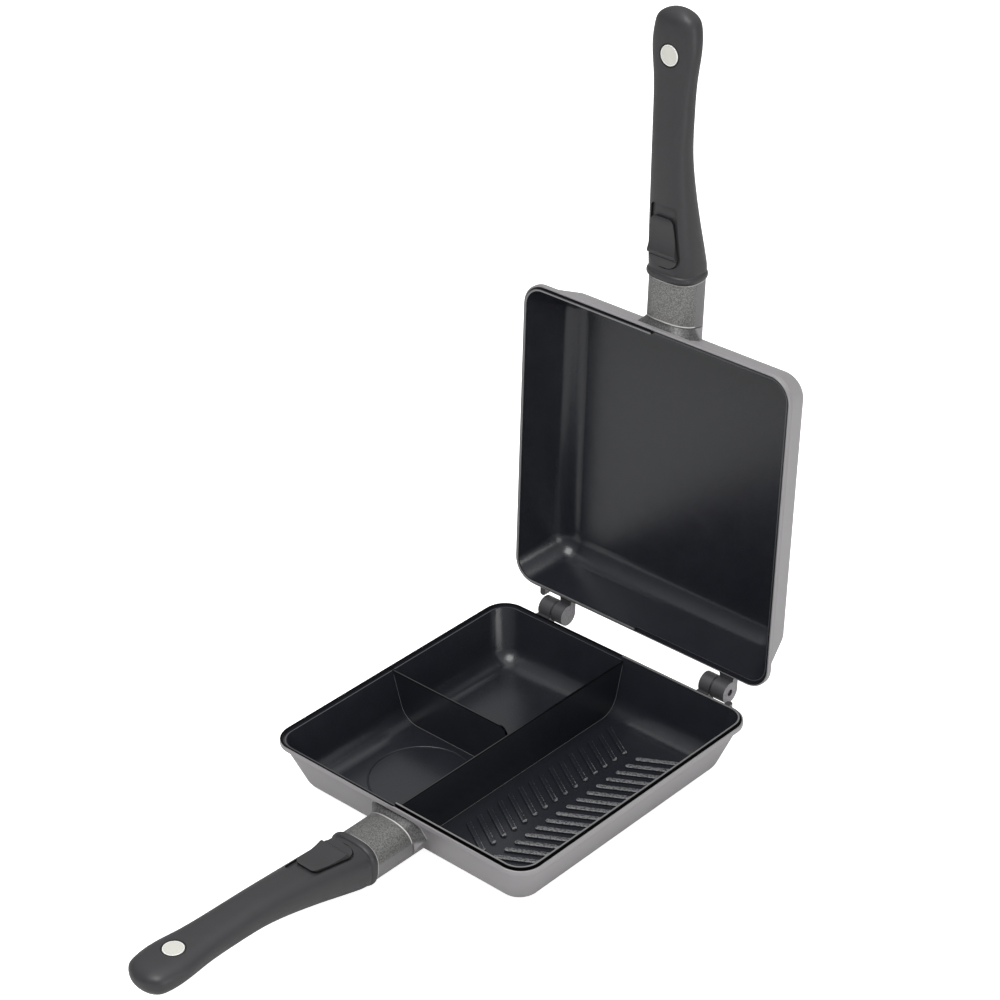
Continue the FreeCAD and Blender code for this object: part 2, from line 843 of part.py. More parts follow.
def slider_profile():
    """Side outline of the slider: nose, groove, ridge, dished pad and round heel."""
    low = slider_lift
    front = slider_front_height
    ridge = slider_ridge_height
    rear = slider_rear_height
    groove_end = slider_groove_start + slider_groove_width
    heel = slider_length - slider_heel_length
    nose = slider_nose_radius
    turn = math.sqrt(0.5)

    def at(along, height):
        return Vector(0, -along, height)

    nose_middle = at(nose - nose * turn, front - nose + nose * turn)
    groove_middle = at((slider_groove_start + groove_end) / 2, front - slider_groove_depth)
    ridge_middle = at(
        slider_ridge_place - (slider_ridge_place - groove_end) * turn, front + (ridge - front) * turn
    )
    pad_middle = at((slider_ridge_place + heel) / 2, slider_pad_height)
    heel_middle = at(heel + slider_heel_length * turn, low + nose + (rear - low - nose) * turn)
    return Part.Wire([
        Part.makeLine(at(0, low), at(0, front - nose)),
        Part.Arc(at(0, front - nose), nose_middle, at(nose, front)).toShape(),
        Part.makeLine(at(nose, front), at(slider_groove_start, front)),
        Part.Arc(at(slider_groove_start, front), groove_middle, at(groove_end, front)).toShape(),
        Part.Arc(at(groove_end, front), ridge_middle, at(slider_ridge_place, ridge)).toShape(),
        Part.Arc(at(slider_ridge_place, ridge), pad_middle, at(heel, rear)).toShape(),
        Part.Arc(at(heel, rear), heel_middle, at(slider_length, low + nose)).toShape(),
        Part.makeLine(at(slider_length, low + nose), at(slider_length, low)),
        Part.makeLine(at(slider_length, low), at(0, low)),
    ])


def slider():
    """Thumb slider: a shaped cap, a stem through the grip and a round foot."""
    side = slider_profile()
    side.translate(Vector(-slider_half_width - overrun, 0, 0))
    cap = prism(side, Vector((slider_half_width + overrun) * 2, 0, 0))
    plan = slide_plan(
        slider_length, slider_half_width, slider_rear_half_width, slider_corner_radius, -overrun
    )
    cap = cap.common(prism(plan, Vector(0, 0, slider_ridge_height + overrun * 2)))
    cap.translate(Vector(0, -slider_front_gap, 0))
    cap = on_slide(cap)
    along = recess_y - foot_y
    floor = face_z(recess_y) - recess_depth + along * math.tan(math.radians(slide_tilt()))
    stem = block(
        Vector(-stem_half_width, foot_y - stem_length / 2, foot_z()),
        Vector(stem_half_width, foot_y + stem_length / 2, floor + slider_lift + stem_root),
    )
    foot = Part.makeCylinder(
        foot_radius, foot_half_width * 2, Vector(-foot_half_width, foot_y, foot_z()), right
    )
    return cap.fuse([stem, foot]).removeSplitter()


def ramp_slope():
    """Fall of the latch's ramp for each length along it, so that full travel gives full lift."""
    tilt = math.radians(slide_tilt())
    run = slider_travel * math.cos(tilt)
    climb = slider_travel * math.sin(tilt)
    return (latch_lift - climb) / run


def ramp_z(y):
    """Height of the ramp's underside."""
    return latch_base_z - (foot_y + ramp_lead - y) * ramp_slope()


def foot_z():
    """Height of the foot's axis, just clear of the ramp above it."""
    lean = math.cos(math.atan(ramp_slope()))
    return ramp_z(foot_y) - (foot_radius + tooth_gap) / lean


def latch():
    """Stamped latch: a tooth for the notch, a flat bar and a forked ramp."""
    tooth_front = notch_front_y - tooth_gap
    tooth_back = notch_back_y + tooth_gap
    tooth_base = tongue_top_z - notch_depth + tooth_gap
    nose_y = tooth_front + latch_front_overhang
    ramp_y = foot_y + ramp_lead
    tail_y = foot_y - latch_tail
    places = (
        (nose_y, latch_top_z), (tail_y, latch_top_z), (tail_y, ramp_z(tail_y)),
        (ramp_y, latch_base_z), (tooth_back, latch_base_z), (tooth_back, tooth_base),
        (tooth_front, tooth_base), (tooth_front, latch_base_z), (nose_y, latch_base_z),
    )
    points = [Vector(-latch_half_width, y, z) for y, z in places]
    bar = prism(Part.makePolygon(points + points[:1]), Vector(latch_half_width * 2, 0, 0))
    half = stem_half_width + slot_gap
    fork = block(
        Vector(-half, tail_y - overrun, ramp_z(tail_y) - overrun),
        Vector(half, foot_y + stem_length / 2 + slot_gap, latch_top_z + overrun),
    )
    return bar.cut(fork)


def arc_middle(start, heading, end):
    """Middle of the arc that leaves a point along a heading and ends at another point."""
    chord = end - start
    along = Vector(chord).normalize()
    side = heading - along * heading.dot(along)
    rise = chord.Length / 2 * math.tan(heading.getAngle(chord) / 2)
    return start + chord * 0.5 + side.normalize() * rise


def coil_path(radius, low, high, turns, x, y):
    """Rising coil made of two tangent arcs for each quarter turn."""
    steps = turns * quarters_per_turn
    step_angle = math.pi * 2 / quarters_per_turn
    rise = (high - low) / steps
    ends = []
    for count in range(steps + 1):
        angle = count * step_angle
        place = Vector(x + radius * math.cos(angle), y + radius * math.sin(angle), low + count * rise)
        heading = Vector(-radius * math.sin(angle), radius * math.cos(angle), rise / step_angle)
        ends.append((place, heading.normalize()))
    edges = []
    for (start, leave), (end, arrive) in zip(ends, ends[1:]):
        span = end - start
        both = leave + arrive
        spread = (1 - leave.dot(arrive)) * 2
        run = (math.sqrt(span.dot(both) ** 2 + spread * span.dot(span)) - span.dot(both)) / spread
        joint = (start + end + (leave - arrive) * run) * 0.5
        edges.append(Part.Arc(start, arc_middle(start, leave, joint), joint).toShape())
        edges.append(Part.Arc(joint, arc_middle(end, arrive * -1, joint), end).toShape())
    return Part.Wire(edges)


def latch_spring():
    low = spring_base_z + spring_wire_radius
    high = spring_top_z - spring_wire_radius - cup_gap
    path = coil_path(spring_radius, low, high, spring_turns, 0, tooth_middle_y)
    start = path.Edges[0]
    heading = start.tangentAt(start.FirstParameter)
    ring = Part.Wire([Part.makeCircle(spring_wire_radius, start.firstVertex().Point, heading)])
    return path.makePipeShell([ring], True, False)


def magnet():
    top = face_z(magnet_y) - magnet_face_drop
    return Part.makeCylinder(
        magnet_radius, magnet_thickness, Vector(0, magnet_y, top - magnet_thickness), up
    )


def magnet_cup():
    """Thin cup that holds the magnet, its lip level with the magnet's face."""
    top = face_z(magnet_y) - magnet_face_drop
    inner = magnet_radius + cup_gap
    height = magnet_thickness + cup_gap + cup_floor
    low = Vector(0, magnet_y, top - height)
    cup = Part.makeCylinder(inner + cup_wall, height, low, up)
    cup = cup.makeFillet(cup_edge_radius, edges_at_height(cup, top))
    return cup.cut(Part.makeCylinder(inner, height, low + Vector(0, 0, cup_floor), up))


def fixing_screw():
    """Countersunk screw with a crossed drive."""
    seat = outer_z(screw_y) + screw_head_recess
    at = Vector(0, screw_y, seat)
    head = Part.makeCone(screw_head_radius, screw_radius, screw_head_height, at, up)
    length = bore_base_z - seat - screw_gap
    shank = Part.makeCylinder(screw_radius, length, at, up)
    half = screw_slot_width / 2
    arm = screw_head_radius / 2
    slots = [
        block(at + Vector(-arm, -half, -overrun), at + Vector(arm, half, screw_slot_depth)),
        block(at + Vector(-half, -arm, -overrun), at + Vector(half, arm, screw_slot_depth)),
    ]
    return head.fuse(shank).cut(slots).removeSplitter()


def seat_lower(shape):
    """Lifts a part drawn below the meeting plane to its place over the base."""
    shape.translate(Vector(0, 0, pan_height))
    return shape


def turn_over(shape):
    """Turns a part over about Y, as it lies when the pan is closed."""
    shape.rotate(Vector(0, 0, 0), back, 180)
    return shape


def seat_upper(shape):
    """Turns a part over and swings it open about the hinge."""
    turn_over(shape)
    shape.rotate(Vector(0, hinge_y, 0), right, -open_angle)
    return seat_lower(shape)


def write(node, shape):
    print(node, len(shape.Solids), "solid", round(shape.Volume, 1), "valid", shape.isValid())
    shape.exportStep(os.path.join("parts", node + ".step"))


def handle_pieces():
    return {
        "ferrule": ferrule(),
        "grip": grip(),
        "tongue_guide": tongue_guide(),
        "slider": slider(),
        "latch": latch(),
        "latch_spring": latch_spring(),
        "magnet": magnet(),
        "magnet_cup": magnet_cup(),
        "fixing_screw": fixing_screw(),
    }


def main():
    os.makedirs("parts", exist_ok=True)
    write("lower_pan", seat_lower(lower_pan()))
    write("upper_pan", seat_upper(upper_pan()))
    write("hinge_pin_left", seat_lower(hinge_pin()))
    write("hinge_pin_right", seat_lower(turn_over(hinge_pin())))
    for name, piece in handle_pieces().items():
        write("lower_" + name, seat_lower(piece.copy()))
        write("upper_" + name, seat_upper(piece.copy()))


main()
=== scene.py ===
"""Finishes, floor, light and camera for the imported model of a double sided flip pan."""

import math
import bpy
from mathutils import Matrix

bl_info = {
    "name": "Flip Pan Dresser",
    "version": (1, 0, 0),
    "blender": (4, 5, 0),
    "location": "3D View > Sidebar > Flip Pan",
    "description": "Finishes, floor, light and camera of a double sided flip pan",
    "category": "Object",
}

import bpy
from bpy.props import FloatProperty, FloatVectorProperty, PointerProperty
from mathutils import Euler, Matrix, Vector

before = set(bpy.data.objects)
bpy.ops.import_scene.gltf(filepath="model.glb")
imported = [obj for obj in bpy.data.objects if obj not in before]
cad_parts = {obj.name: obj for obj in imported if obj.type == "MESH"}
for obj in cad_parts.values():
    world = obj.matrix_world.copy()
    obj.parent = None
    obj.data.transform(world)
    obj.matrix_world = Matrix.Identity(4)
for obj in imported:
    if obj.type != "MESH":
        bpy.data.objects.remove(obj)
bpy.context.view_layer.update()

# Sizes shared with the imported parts, in metres
PAN_WIDTH = 0.210
PAN_DEPTH = 0.215
PAN_HEIGHT = 0.0375
RIM_BAND = 0.0032
WALL_INSET = 0.0023
WALL_SLOPE = math.tan(math.radians(18))
WALL_THICKNESS = 0.0021
RIM_CORNER = 0.016
WALL_TOP_CORNER = 0.0137
WALL_FOOT_CORNER = 0.0163
LIP_INSET = 0.00195
HOLLOW_INSET = 0.00336
FLOOR_DEPTH = 0.0348
HINGE_Y = 0.1187
OPEN_ANGLE = math.radians(93)
FERRULE_Y = -0.110
FERRULE_LENGTH = 0.027
FERRULE_RISE = 0.007
JOINT_LEAN = math.tan(math.radians(12))
LONG_DIVIDER_X = 0.0017
CROSS_DIVIDER_Y = -0.001
DIVIDER_FOOT = 0.0034
DIVIDER_TOP = 0.0016
DIVIDER_DROP = 0.0019
RIB_PITCH = 0.00944
RIB_WIDTH = 0.0036
RIB_HEIGHT = 0.0012
RIB_ANGLE = math.radians(30)
RIB_FIRST_Y = -0.071
RIB_RIGHT_X = 0.0485
RIB_LEFT_X = 0.0402
RIB_OUTER_LEFT_X = 0.0135
RIB_OUTER_RIGHT_X = 0.0755
RIB_PAIRS = 15
BOSS_HALF_WIDTH = 0.0232
KNUCKLE_SPLIT_X = 0.0667
RECESS_Y = -0.146
RECESS_LENGTH = 0.042
RECESS_HALF_WIDTH = 0.0122
MAGNET_Y = -0.2815
MAGNET_POCKET = 0.0067

SIDES = ("lower", "upper")

# Where masks begin and end on the parts: places, heights above the rim and distances, in metres
EDGE_MARGIN = 0.0003
WALL_EDGE = 0.0001
LEDGE_HEIGHT = (-0.0026, -0.0022)
LIP_HEIGHT = (0.0006, 0.0012)
STEP_HEIGHT = (-0.0024, -0.0015)
STEP_SOFTNESS = 0.0002
LAND_HEIGHT = (-0.0006, -0.0003)
BARE_LAND_LEFT = 0.0003
BARE_LAND_RIGHT = 0.0009
BARE_LAND_UPPER = 0.0010
RIB_EDGE_INSET = 0.0009
RIB_EDGE_WIDTH = 0.0005
RIB_FADE = (0.002, 0.016)
RIB_END = (0.0008, 0.0020)
FOOT_LINE_REACH = (-0.0001, 0.0003)
FOOT_LINE_SOFTNESS = 0.00012
FOOT_LINE_HEIGHT = (-0.0035, -0.006)
TOP_HEIGHT = (-DIVIDER_DROP - 0.0004, -DIVIDER_DROP + 0.0003)
TOP_LINE_REACH = (0.0001, 0.0004)
TOP_REACH = (0.0010, 0.0014)
NOSE_REACH = (0.0012, 0.0016)
NOSE_X = (-0.014, -0.013)
NOSE_HEIGHT = (-0.024, -0.022)
NECK_SIDE = (BOSS_HALF_WIDTH + 0.0002, BOSS_HALF_WIDTH + 0.0026)
NECK_Y = (-0.0965, -0.0970)
NECK_TOP = (-0.0034, -0.0038)
NECK_FOOT = (-0.0215, -0.0175)
NECK_CLEARANCE = (0.0002, 0.0006)
HINGE_START = (PAN_DEPTH / 2 + 0.0001, PAN_DEPTH / 2 + 0.0005)
KNUCKLE_GAP = 0.0006
KNUCKLE_SOFTNESS = 0.0002
FERRULE_MATING = (-0.0200, -0.0180)
FERRULE_FRONT = (FERRULE_Y - 0.0014, FERRULE_Y - 0.0008)
FERRULE_REAR = (FERRULE_Y - FERRULE_LENGTH + 0.0003, FERRULE_Y - FERRULE_LENGTH + 0.0008)
FERRULE_LIT_END_X = (-0.018, 0.016)
RECESS_SIDE = (RECESS_HALF_WIDTH, RECESS_HALF_WIDTH + 0.0004)
POCKET_RING = (MAGNET_POCKET + 0.0005, MAGNET_POCKET + 0.0009)

# Where masks begin and end by the way a face looks, 1 being straight up or sideways
COATED_FACING = (-0.16, -0.12)
RIB_TOP_FACING = (0.5, 0.7)
FOOT_LINE_FACING = (0.12, 0.25)
NOSE_FACING = (0.2, 0.3)
BARREL_END_SIDEWAYS = (0.97, 0.99)
STEEP_FACING = (0.30, 0.60)
POCKET_FACING = (0.5, 0.7)

# Colours, grain and finishes that no setting covers
# Painted shade: black metal that reflects nothing, on the land outside a lip and on the divider
# tops
PAINTED_SHADE_BLACK = (0.006, 0.006, 0.007)
# Painted shade in the gap between two hinge barrels
BARREL_GAP_SHADE = (0.004, 0.004, 0.005)
# Painted shade on the steep walls of sliders and grip recesses
RECESS_SHADE_BLACK = (0.002, 0.002, 0.002)
# Painted shadow in the gap round a magnet's pocket
POCKET_SHADOW_BLACK = (0.001, 0.001, 0.001)
# Worn bright metal at the ferrule's ends, also a painted highlight on the front rim
WORN_AND_LIT_METAL = (0.80, 0.79, 0.76)
PIN_STEEL = (0.45, 0.45, 0.46)
CUP_STEEL = (0.92, 0.92, 0.90)
FITTING_STEEL = (0.5, 0.5, 0.5)
# Share of painted shade on each pan's land
LAND_SHADE_SHARE = {"lower": 1.0, "upper": 0.4}
LAND_ROUGHNESS = 0.55
PAINT_METAL = 0.35
FERRULE_METAL = 0.35
# Painted light: the upper ferrule is made lighter than the lower one
FERRULE_PAINTED_LIGHT = {"lower": 1.0, "upper": 1.3}
PLATING_METAL = 0.2
GRIP_ROUGHNESS = 0.44
SLIDER_ROUGHNESS = 0.38
PLASTIC_SPECULAR = 0.42
MAGNET_ROUGHNESS = 0.38
CUP_ROUGHNESS = 0.3
STEEL_ROUGHNESS = 0.35
RIB_GRAIN = 0.0012
MOULD_GRAIN = 0.0005
STEEL_GRAIN = 0.0004

# Studio: floor, brightness of the air, and soft boxes with name, place, width and watts
FLOOR_HALF_WIDTH = 6.0
FLOOR_DROP = 0.0002
FLOOR_TONE_SIZE = 0.4
FLOOR_ROUGHNESS = 0.9
FLOOR_GLOW = 0.9
AIR_LOW = 0.45
AIR_HIGH = 1.2
AIR_SEEN = 1.3
SOFT_BOXES = (
    ("top_box", (-0.3, 0.2, 2.2), 1.6, 5),
    ("front_box", (0.2, -1.2, 2.3), 1.4, 44),
    ("right_box", (2.0, -0.4, 0.15), 1.2, 15),
)
LIGHT_TARGET = Vector((0, 0, 0.1))
SENSOR_WIDTH = 36
WHITE = (1, 1, 1, 1)
BLACK = (0, 0, 0, 1)


# Sizes and colours that a user may change
class FlipPanCasting(bpy.types.PropertyGroup):
    outside_colour: FloatVectorProperty(
        name="Outside colour", description="Satin paint on the outside of both pans",
        subtype="COLOR", size=3, min=0, max=1, default=(0.295, 0.285, 0.293))
    inside_colour: FloatVectorProperty(
        name="Inside colour", description="Coating on the cooking side of both pans",
        subtype="COLOR", size=3, min=0, max=1, default=(0.0115, 0.0128, 0.0170))
    # Painted highlight: colour of the lit rib tops and rib edge lines
    rib_highlight_colour: FloatVectorProperty(
        name="Rib colour", description="Rougher coating on the tops of the grill ribs",
        subtype="COLOR", size=3, min=0, max=1, default=(0.16, 0.16, 0.164))
    # Painted highlight: colour of the light lines on lip edges, the rim's step and divider edges
    edge_highlight_colour: FloatVectorProperty(
        name="Edge colour", description="Thin coating on lips, bead and divider edges",
        subtype="COLOR", size=3, min=0, max=1, default=(0.16, 0.16, 0.16))
    neck_colour: FloatVectorProperty(
        name="Neck colour", description="Grainy coating on the necks that carry the handles",
        subtype="COLOR", size=3, min=0, max=1, default=(0.11, 0.11, 0.11))
    knuckle_colour: FloatVectorProperty(
        name="Knuckle colour", description="Coated barrels of the hinge",
        subtype="COLOR", size=3, min=0, max=1, default=(0.045, 0.045, 0.049))
    machined_colour: FloatVectorProperty(
        name="Machined colour", description="Bare end faces of the hinge barrels",
        subtype="COLOR", size=3, min=0, max=1, default=(0.26, 0.25, 0.26))
    outside_roughness: FloatProperty(
        name="Outside roughness", description="How dull the outside paint is",
        min=0, max=1, default=0.42)
    inside_roughness: FloatProperty(
        name="Inside roughness", description="How dull the coating is",
        min=0, max=1, default=0.25)
    grain_size: FloatProperty(
        name="Grain size", description="Size of the cast and sprayed grain",
        unit="LENGTH", min=0.0001, max=0.01, default=0.0010)


class FlipPanHandle(bpy.types.PropertyGroup):
    grip_colour: FloatVectorProperty(
        name="Grip colour", description="Moulded grips of both handles",
        subtype="COLOR", size=3, min=0, max=1, default=(0.027, 0.026, 0.0285))
    slider_colour: FloatVectorProperty(
        name="Slider colour", description="Thumb sliders of both handles",
        subtype="COLOR", size=3, min=0, max=1, default=(0.026, 0.0255, 0.028))
    ferrule_colour: FloatVectorProperty(
        name="Ferrule colour", description="Speckled metal sleeves between pan and grip",
        subtype="COLOR", size=3, min=0, max=1, default=(0.13, 0.13, 0.126))
    magnet_colour: FloatVectorProperty(
        name="Magnet colour", description="Discs near the ends of the grips",
        subtype="COLOR", size=3, min=0, max=1, default=(0.60, 0.60, 0.55))
    speckle_size: FloatProperty(
        name="Speckle size", description="Size of the speckles on the sleeves",
        unit="LENGTH", min=0.0001, max=0.01, default=0.0009)


class FlipPanStage(bpy.types.PropertyGroup):
    floor_colour: FloatVectorProperty(
        name="Floor colour", description="Plain floor under the pan",
        subtype="COLOR", size=3, min=0, max=1, default=(0.74, 0.74, 0.74))
    camera_place: FloatVectorProperty(
        name="Camera place", description="Where the camera stands",
        subtype="TRANSLATION", unit="LENGTH", size=3,
        default=(0.968289, -1.063623, 1.051489))
    camera_azimuth: FloatProperty(
        name="Camera azimuth", description="Angle round the pan from its front, to the right",
        subtype="ANGLE", default=math.radians(42.55))
    camera_elevation: FloatProperty(
        name="Camera elevation", description="Angle above the floor",
        subtype="ANGLE", default=math.radians(30.593))
    camera_roll: FloatProperty(
        name="Camera roll", description="Tilt of the picture",
        subtype="ANGLE", default=math.radians(0.673))
    camera_lens: FloatProperty(
        name="Camera lens", description="Focal length in millimetres on a 36 mm sensor",
        min=1, max=500, default=102.107)
    light_strength: FloatProperty(
        name="Light strength", description="Share of the studio's full light",
        min=0, max=10, default=1.0)


# Helpers for shader trees
def put(tree, kind, **settings):
    """Adds a node and sets its properties."""
    node = tree.nodes.new(kind)
    for name, value in settings.items():
        setattr(node, name, value)
    return node


def feed(tree, value, socket):
    """Links an output to a socket, or sets a plain value on it."""
    if isinstance(value, bpy.types.NodeSocket):
        tree.links.new(value, socket)
    else:
        socket.default_value = value


def calc(tree, operation, *values, clamp=False):
    """Math node on outputs or numbers."""
    node = put(tree, "ShaderNodeMath", operation=operation, use_clamp=clamp)
    for value, socket in zip(values, node.inputs):
        feed(tree, value, socket)
    return node.outputs[0]


def product(tree, *values):
    """Multiplies outputs or numbers, from the first to the last."""
    result = values[0]
    for value in values[1:]:
        result = calc(tree, "MULTIPLY", result, value)
    return result


def ramp(tree, value, low, high, start=0.0, end=1.0, smooth=True):
    """Map Range node: start below low, end above high."""
    kind = "SMOOTHSTEP" if smooth else "LINEAR"
    node = put(tree, "ShaderNodeMapRange", interpolation_type=kind)
    for item, socket in zip((value, low, high, start, end), node.inputs):
        feed(tree, item, socket)
    return node.outputs[0]


def between(tree, value, low, high, soft=0.00015):
    """Mask that is 1 between two numbers, with soft ends."""
    rise = ramp(tree, value, low - soft, low + soft)
    fall = ramp(tree, value, high - soft, high + soft, 1.0, 0.0)
    return product(tree, rise, fall)


def mix(tree, data_type, kind, share, first, second):
    """Mix node that goes from first to second, through its sockets of one kind."""
    node = put(tree, "ShaderNodeMix", data_type=data_type)
    feed(tree, share, node.inputs["Factor"])
    for value, name in ((first, "A"), (second, "B")):
        feed(tree, value, [s for s in node.inputs if s.name == name and s.type == kind][0])
    return [s for s in node.outputs if s.type == kind][0]


def mix_colour(tree, share, first, second):
    return mix(tree, "RGBA", "RGBA", share, first, second)


def mix_number(tree, share, first, second):
    return mix(tree, "FLOAT", "VALUE", share, first, second)


def noise(tree, point, size, detail=2.0, rough=0.5):
    """Noise of a real size in metres."""
    node = put(tree, "ShaderNodeTexNoise")
    feed(tree, point, node.inputs["Vector"])
    node.inputs["Scale"].default_value = 1 / size
    node.inputs["Detail"].default_value = detail
    node.inputs["Roughness"].default_value = rough
    return node.outputs["Fac"]


def rgba(colour):
    return (*colour, 1.0)


def scaled(colour, share):
    """A colour made darker or lighter."""
    return rgba(Vector(colour) * share)


def shaded(tree, mask, colour, low, high):
    """A colour that goes from one share of its lightness to another with a mask."""
    return mix_colour(tree, mask, scaled(colour, low), scaled(colour, high))


def new_group(name, takes, gives):
    """Empty node group with named inputs and outputs; returns it with both ends."""
    group = bpy.data.node_groups.new(name, "ShaderNodeTree")
    kinds = {"value": "NodeSocketFloat", "vector": "NodeSocketVector"}
    for title, kind, default in takes:
        socket = group.interface.new_socket(title, in_out="INPUT", socket_type=kinds[kind])
        if default is not None:
            socket.default_value = default
    for title, kind in gives:
        group.interface.new_socket(title, in_out="OUTPUT", socket_type=kinds[kind])
    return group, group.nodes.new("NodeGroupInput"), group.nodes.new("NodeGroupOutput")


def use_group(tree, name, **values):
    """Places a node group in a material and feeds its inputs."""
    node = put(tree, "ShaderNodeGroup", node_tree=bpy.data.node_groups[name])
    for title, value in values.items():
        feed(tree, value, node.inputs[title.replace("_", " ")])
    return node


def new_material(name):
    """Empty material with a Principled shader on its output."""
    material = bpy.data.materials.new(name)
    material.use_nodes = True
    tree = material.node_tree
    tree.nodes.clear()
    shader = put(tree, "ShaderNodeBsdfPrincipled")
    output = put(tree, "ShaderNodeOutputMaterial")
    tree.links.new(shader.outputs[0], output.inputs["Surface"])
    return material, tree, shader


def bump(tree, height, shader, distance, strength=1.0):
    """Small relief in the shader's normal."""
    node = put(tree, "ShaderNodeBump")
    node.inputs["Strength"].default_value = strength
    node.inputs["Distance"].default_value = distance
    feed(tree, height, node.inputs["Height"])
    tree.links.new(node.outputs[0], shader.inputs["Normal"])


def uneven_roughness(tree, tone, roughness, spread, shader):
    """Roughness that drifts a little with a soft tone."""
    drift = ramp(tree, tone, 0.3, 0.7, roughness - spread, roughness + spread)
    feed(tree, drift, shader.inputs["Roughness"])


def dress(node_name, material):
    """Gives a part its finish through its object's slots."""
    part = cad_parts[node_name]
    for slot in part.material_slots:
        slot.link = "OBJECT"
        slot.material = material


# Effects shared by several finishes
PLACE = ("Across", "Along", "Height", "Facing")
PLACE_INPUTS = [(title, "value", 0) for title in PLACE]


def build_part_place():
    """Place and facing on a part, turned back to how the lower half lies, rim at height zero."""
    group, start, end = new_group(
        "part_place",
        [("Move", "vector", None), ("Turn", "vector", None)],
        [("Point", "vector"), ("Across", "value"), ("Along", "value"), ("Height", "value"),
         ("Facing", "value"), ("Sideways", "value")])
    where = put(group, "ShaderNodeTexCoord")
    point = put(group, "ShaderNodeMapping", vector_type="POINT")
    facing = put(group, "ShaderNodeMapping", vector_type="NORMAL")
    group.links.new(where.outputs["Object"], point.inputs["Vector"])
    group.links.new(where.outputs["Normal"], facing.inputs["Vector"])
    group.links.new(start.outputs["Move"], point.inputs["Location"])
    for node in (point, facing):
        group.links.new(start.outputs["Turn"], node.inputs["Rotation"])
    parts = put(group, "ShaderNodeSeparateXYZ")
    group.links.new(point.outputs[0], parts.inputs[0])
    faces = put(group, "ShaderNodeSeparateXYZ")
    group.links.new(facing.outputs[0], faces.inputs[0])
    group.links.new(point.outputs[0], end.inputs["Point"])
    for axis, title in enumerate(("Across", "Along", "Height")):
        group.links.new(parts.outputs[axis], end.inputs[title])
    group.links.new(faces.outputs[2], end.inputs["Facing"])
    feed(group, calc(group, "ABSOLUTE", faces.outputs[0]), end.inputs["Sideways"])


def turn_back(side):
    """Move and turn that bring a half back to how the lower one lies, rim at zero."""
    if side == "lower":
        return Vector((0, 0, -PAN_HEIGHT)), Euler((0, 0, 0))
    turn = Euler((OPEN_ANGLE, math.pi, 0))
    swing = Matrix.Rotation(OPEN_ANGLE, 3, "X")
    flip = Matrix.Rotation(math.pi, 3, "Y")
    hinge = Vector((0, HINGE_Y, 0))
    lift = Vector((0, 0, PAN_HEIGHT))
    return flip @ (swing @ (-lift - hinge) + hinge), turn


def place_on(tree, side):
    move, turn = turn_back(side)
    return use_group(tree, "part_place", Move=move, Turn=turn)


def build_grain():
    """Sprayed or cast grain: fine pimples over a soft unevenness."""
    group, start, end = new_group(
        "sprayed_grain",
        [("Point", "vector", None), ("Size", "value", 0.001)],
        [("Height", "value"), ("Tone", "value")])
    scale = calc(group, "DIVIDE", 1.0, start.outputs["Size"])
    fine = put(group, "ShaderNodeTexNoise")
    fine.inputs["Detail"].default_value = 1
    fine.inputs["Roughness"].default_value = 0.5
    soft = put(group, "ShaderNodeTexNoise")
    soft.inputs["Detail"].default_value = 2
    group.links.new(start.outputs["Point"], fine.inputs["Vector"])
    group.links.new(start.outputs["Point"], soft.inputs["Vector"])
    group.links.new(scale, fine.inputs["Scale"])
    feed(group, calc(group, "MULTIPLY", scale, 0.06), soft.inputs["Scale"])
    feed(group, fine.outputs["Fac"], end.inputs["Height"])
    feed(group, soft.outputs["Fac"], end.inputs["Tone"])


def rounded_distance(group, across, along, half_across, half_along, radius):
    """Distance to a rounded rectangle round the middle, below zero inside it."""
    reach = []
    for value, half in ((across, half_across), (along, half_along)):
        core = calc(group, "SUBTRACT", half, radius)
        reach.append(calc(group, "SUBTRACT", calc(group, "ABSOLUTE", value), core))
    outer = [calc(group, "POWER", calc(group, "MAXIMUM", value, 0.0), 2.0) for value in reach]
    corner = calc(group, "SQRT", calc(group, "ADD", *outer))
    flat = calc(group, "MINIMUM", calc(group, "MAXIMUM", *reach), 0.0)
    return calc(group, "SUBTRACT", calc(group, "ADD", corner, flat), radius)


def build_tray_side():
    """Mask of a pan's cooking side; distances in from the rim's edge and out of the wall."""
    group, start, end = new_group(
        "cooking_side", PLACE_INPUTS + [("Bare land", "value", 0)],
        [("Inside", "value"), ("Inset", "value"), ("Beyond", "value")])
    across, along = start.outputs["Across"], start.outputs["Along"]
    height = start.outputs["Height"]
    depth = calc(group, "MULTIPLY", height, -1)
    below_band = calc(group, "MAXIMUM", calc(group, "SUBTRACT", depth, RIM_BAND), 0.0)
    lean = calc(group, "MULTIPLY", below_band, WALL_SLOPE)
    inset = WALL_INSET + WALL_THICKNESS / 2
    half_width = calc(group, "SUBTRACT", PAN_WIDTH / 2 - inset, lean)
    half_depth = calc(group, "SUBTRACT", PAN_DEPTH / 2 - inset, lean)
    radius = ramp(
        group, depth, 0.0, FLOOR_DEPTH, WALL_TOP_CORNER, WALL_FOOT_CORNER, smooth=False)
    middle = rounded_distance(group, across, along, half_width, half_depth, radius)
    feed(group, calc(group, "SUBTRACT", middle, WALL_THICKNESS / 2), end.inputs["Beyond"])
    within = ramp(group, middle, -WALL_EDGE, WALL_EDGE, 1.0, 0.0, smooth=False)
    upward = ramp(group, start.outputs["Facing"], *COATED_FACING, smooth=False)
    rim = rounded_distance(group, across, along, PAN_WIDTH / 2, PAN_DEPTH / 2, RIM_CORNER)
    land = ramp(group, height, *LEDGE_HEIGHT, smooth=False)
    on_rim = calc(group, "LESS_THAN", calc(group, "ADD", rim, start.outputs["Bare land"]), 0.0)
    inside = calc(
        group, "MAXIMUM", product(group, within, upward), product(group, land, on_rim))
    feed(group, inside, end.inputs["Inside"])
    feed(group, calc(group, "MULTIPLY", rim, -1), end.inputs["Inset"])


